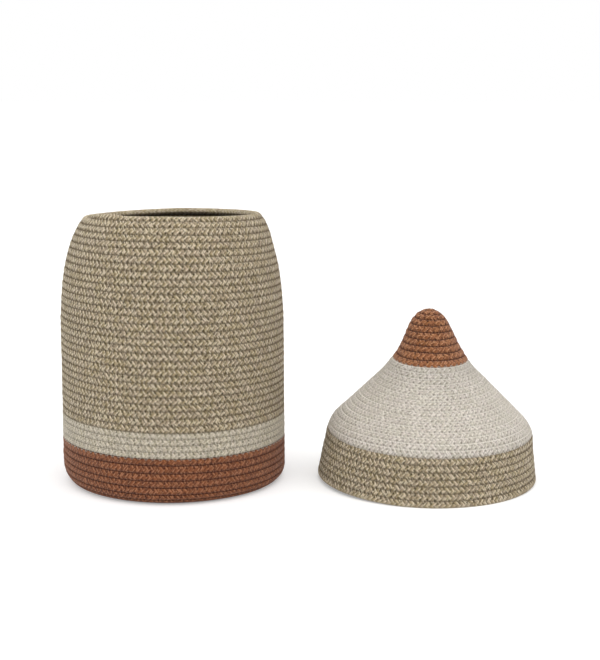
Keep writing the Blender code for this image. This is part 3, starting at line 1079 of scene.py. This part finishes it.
# The light groove tone of the lid's cream is a painted highlight of the rows' edges that catch the
# light.
lid_cream = cord_material(
    "lid_cream_cord", ground=(0.56, 0.515, 0.43), patch=(0.60, 0.53, 0.48),
    light_and_highlight=(0.88, 0.83, 0.76), dark=(0.14, 0.12, 0.09), dark_yarns=0.3, gap=0.3, hole=0.7,
    pit=0.8, needle=0.8, groove=0.6, painted_groove_tone=(0.86, 0.82, 0.76), cloud=0.10, fibre=0.4,
    tip_painted_shade=0.12)
terracotta = cord_material(
    "terracotta_cord", ground=(0.26, 0.086, 0.032), patch=(0.22, 0.078, 0.036),
    light_and_highlight=(0.52, 0.24, 0.125), dark=(0.040, 0.009, 0.003), dark_yarns=0.6, gap=0.6, hole=0.8,
    pit=0.9, needle=1.0, groove=1.0)
tip_terracotta = cord_material(
    "tip_terracotta_cord", ground=(0.31, 0.120, 0.044), patch=(0.27, 0.100, 0.046),
    light_and_highlight=(0.60, 0.31, 0.16), dark=(0.045, 0.013, 0.004), dark_yarns=0.4, gap=0.4, hole=0.7,
    pit=1.0, needle=0.9, groove=1.0)
oat_thread = thread_material("oat_thread", (0.19, 0.14, 0.08))
cream_thread = thread_material("cream_thread", (0.66, 0.61, 0.52))
terracotta_thread = thread_material("terracotta_thread", (0.24, 0.085, 0.04))
print("nodes in the oat material:", len(oat.node_tree.nodes))

# %% [markdown]
# Winding the basket
#
# The terracotta cord starts in the middle of the base and winds outward as a flat spiral. At
# the foot the same cord turns up and becomes the wall. Cream and oat follow, each butted
# against the end of the last on the seam at the back. Oat takes thirty rows, more than one
# hank of cord, so it is wound in three lengths, and its end tapers into the rim. A length stops
# a hair before the next one starts, so that their ends don't lie in the same place.

# %% Basket cords
oat_kind = (oat_cord, 2.8, 1.14, 0.28 * mm, oat, "oat_cord")
cream_kind = (cream_cord, 2.8, 1.20, 0.12 * mm, cream, "cream_cord")
terracotta_kind = (terracotta_cord, 2.8, 1.14, 0.20 * mm, terracotta, "terracotta_cord")
hidden_end = 0.003
base_taper = 0.5

base_cord = sweep_cord("terracotta_base_cord", basket_coil, base_first, 0, terracotta_kind,
                       seed=3, start_taper=base_taper)
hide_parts("base_coil")
foot_cord = sweep_cord("terracotta_wall_cord", basket_coil, 0, terracotta_end - hidden_end,
                       terracotta_kind, seed=4)
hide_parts("terracotta_wall")
band_cord = sweep_cord("cream_wall_cord", basket_coil, terracotta_end, cream_end - hidden_end,
                       cream_kind, seed=5)
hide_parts("cream_wall_band")

# %% Oat wall
oat_lengths = 3
tail_taper = 0.10
oat_breaks = np.linspace(cream_end, tail_end, oat_lengths + 1)
oat_breaks[1:-1] = np.round(oat_breaks[1:-1])
for index in range(oat_lengths):
    last = index == oat_lengths - 1
    piece = sweep_cord(f"oat_wall_cord_{index + 1}", basket_coil, oat_breaks[index],
                       oat_breaks[index + 1] - (0 if last else hidden_end), oat_kind,
                       seed=6 + index, end_taper=tail_taper if last else 0.0)
    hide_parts("oat_wall")

# %% [markdown]
# Winding the lid
#
# The lid is wound the other way up in real life, but it stands here as it is used: an oat
# skirt, a cream cone and a terracotta tip, which closes on itself and is the grip. The skirt
# starts at the foot with a taper that shows, and the tip's end is tucked into the nose.

# %% Lid cords
cone_kind = (cream_cord, 2.6, 1.30, 0.14 * mm, lid_cream, "cream_cord")
tip_kind = (terracotta_cord, 2.7, 1.12, 0.20 * mm, tip_terracotta, "terracotta_cord")
skirt_taper = 0.16
tip_tuck = 0.12

skirt_cord = sweep_cord("oat_skirt_cord", lid_coil, 0, skirt_end - hidden_end, oat_kind,
                        seed=21, start_taper=skirt_taper)
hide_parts("lid_oat_skirt")
cone_cord = sweep_cord("cream_cone_cord", lid_coil, skirt_end, cone_end - hidden_end,
                       cone_kind, seed=22)
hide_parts("lid_cream_cone")
tip_cord = sweep_cord("terracotta_tip_cord", lid_coil, cone_end, tip_end - tip_tuck, tip_kind,
                      seed=23)
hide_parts("lid_terracotta_tip")

# %% [markdown]
# Sewing the rows together
#
# Each row is held to the one below it by a zigzag thread that bites into both. It is a tube
# with three sides: at each bite it dives into the cord, and between two bites it crosses the
# groove. The cords are pinched where it bites, because both read the same count of stitches.
# On the basket a groove is sewn with the colour above it, and on the lid with the one below.

# %% Sewing
thread_radius = 0.26 * mm
thread_sides = 3
bite = 1.9 * mm
path_across = (1, 0.82, 0, -0.82)
depth_across = (0, 0.82, 1)
depth_there = (0.75 * mm, 0.24 * mm, 1.9 * mm)


def sew(name, coil, first, last, material, slot):
    """A zigzag thread in a coil's groove between two turns."""
    halves = np.arange(math.ceil(2 * coil.stitches(first)), math.floor(2 * coil.stitches(last)))
    across = np.where(halves[:, None] % 2 == 0, 1, -1) * np.array(path_across)[None, :]
    passed = halves[:, None] + (1 - np.array(path_across))[None, :] / 2
    across, passed = across.ravel(), passed.ravel()
    turn = coil.turn_of_stitch(passed / 2)
    length = coil.groove(turn) + bite * across
    depth = np.interp(np.abs(across), depth_across, depth_there)
    line = coil.place(turn, length, depth)
    outward = coil.place(turn, length, depth - mm) - line
    outward /= np.linalg.norm(outward, axis=1)[:, None]
    aside = np.cross(np.gradient(line, axis=0), outward)
    aside /= np.linalg.norm(aside, axis=1)[:, None]
    corners = [math.tau * index / thread_sides for index in range(thread_sides)]
    rings = [line + thread_radius * (math.cos(corner) * outward + math.sin(corner) * aside)
             for corner in corners]
    points = np.stack(rings, 1)
    points[..., 2] = np.maximum(points[..., 2], 0)
    low = np.arange(len(line) - 1)[:, None] * thread_sides
    here = np.arange(thread_sides)[None, :]
    a, b = low + here, low + (here + 1) % thread_sides
    c, d = a + thread_sides, b + thread_sides
    triangles = np.concatenate([np.stack([a, b, d], -1).reshape(-1, 3),
                                np.stack([a, d, c], -1).reshape(-1, 3)])
    add_piece(name, coil.body, points.reshape(-1, 3), triangles, {}, material, slot)
    print(f"{name}: {len(halves) // 2} stitches, {len(triangles)} triangles")

# %% Threads
first_sewn = base_first + 1.3
last_sewn = tip_end - 0.8

sew("basket_terracotta_thread", basket_coil, first_sewn, terracotta_end, terracotta_thread,
    "terracotta_cord")
sew("basket_cream_thread", basket_coil, terracotta_end, cream_end, cream_thread, "cream_cord")
sew("basket_oat_thread", basket_coil, cream_end, tail_end, oat_thread, "oat_cord")
sew("lid_oat_thread", lid_coil, 1, skirt_end + 1, oat_thread, "oat_cord")
sew("lid_cream_thread", lid_coil, skirt_end + 1, cone_end + 1, cream_thread, "cream_cord")
sew("lid_terracotta_thread", lid_coil, cone_end + 1, last_sewn, terracotta_thread,
    "terracotta_cord")
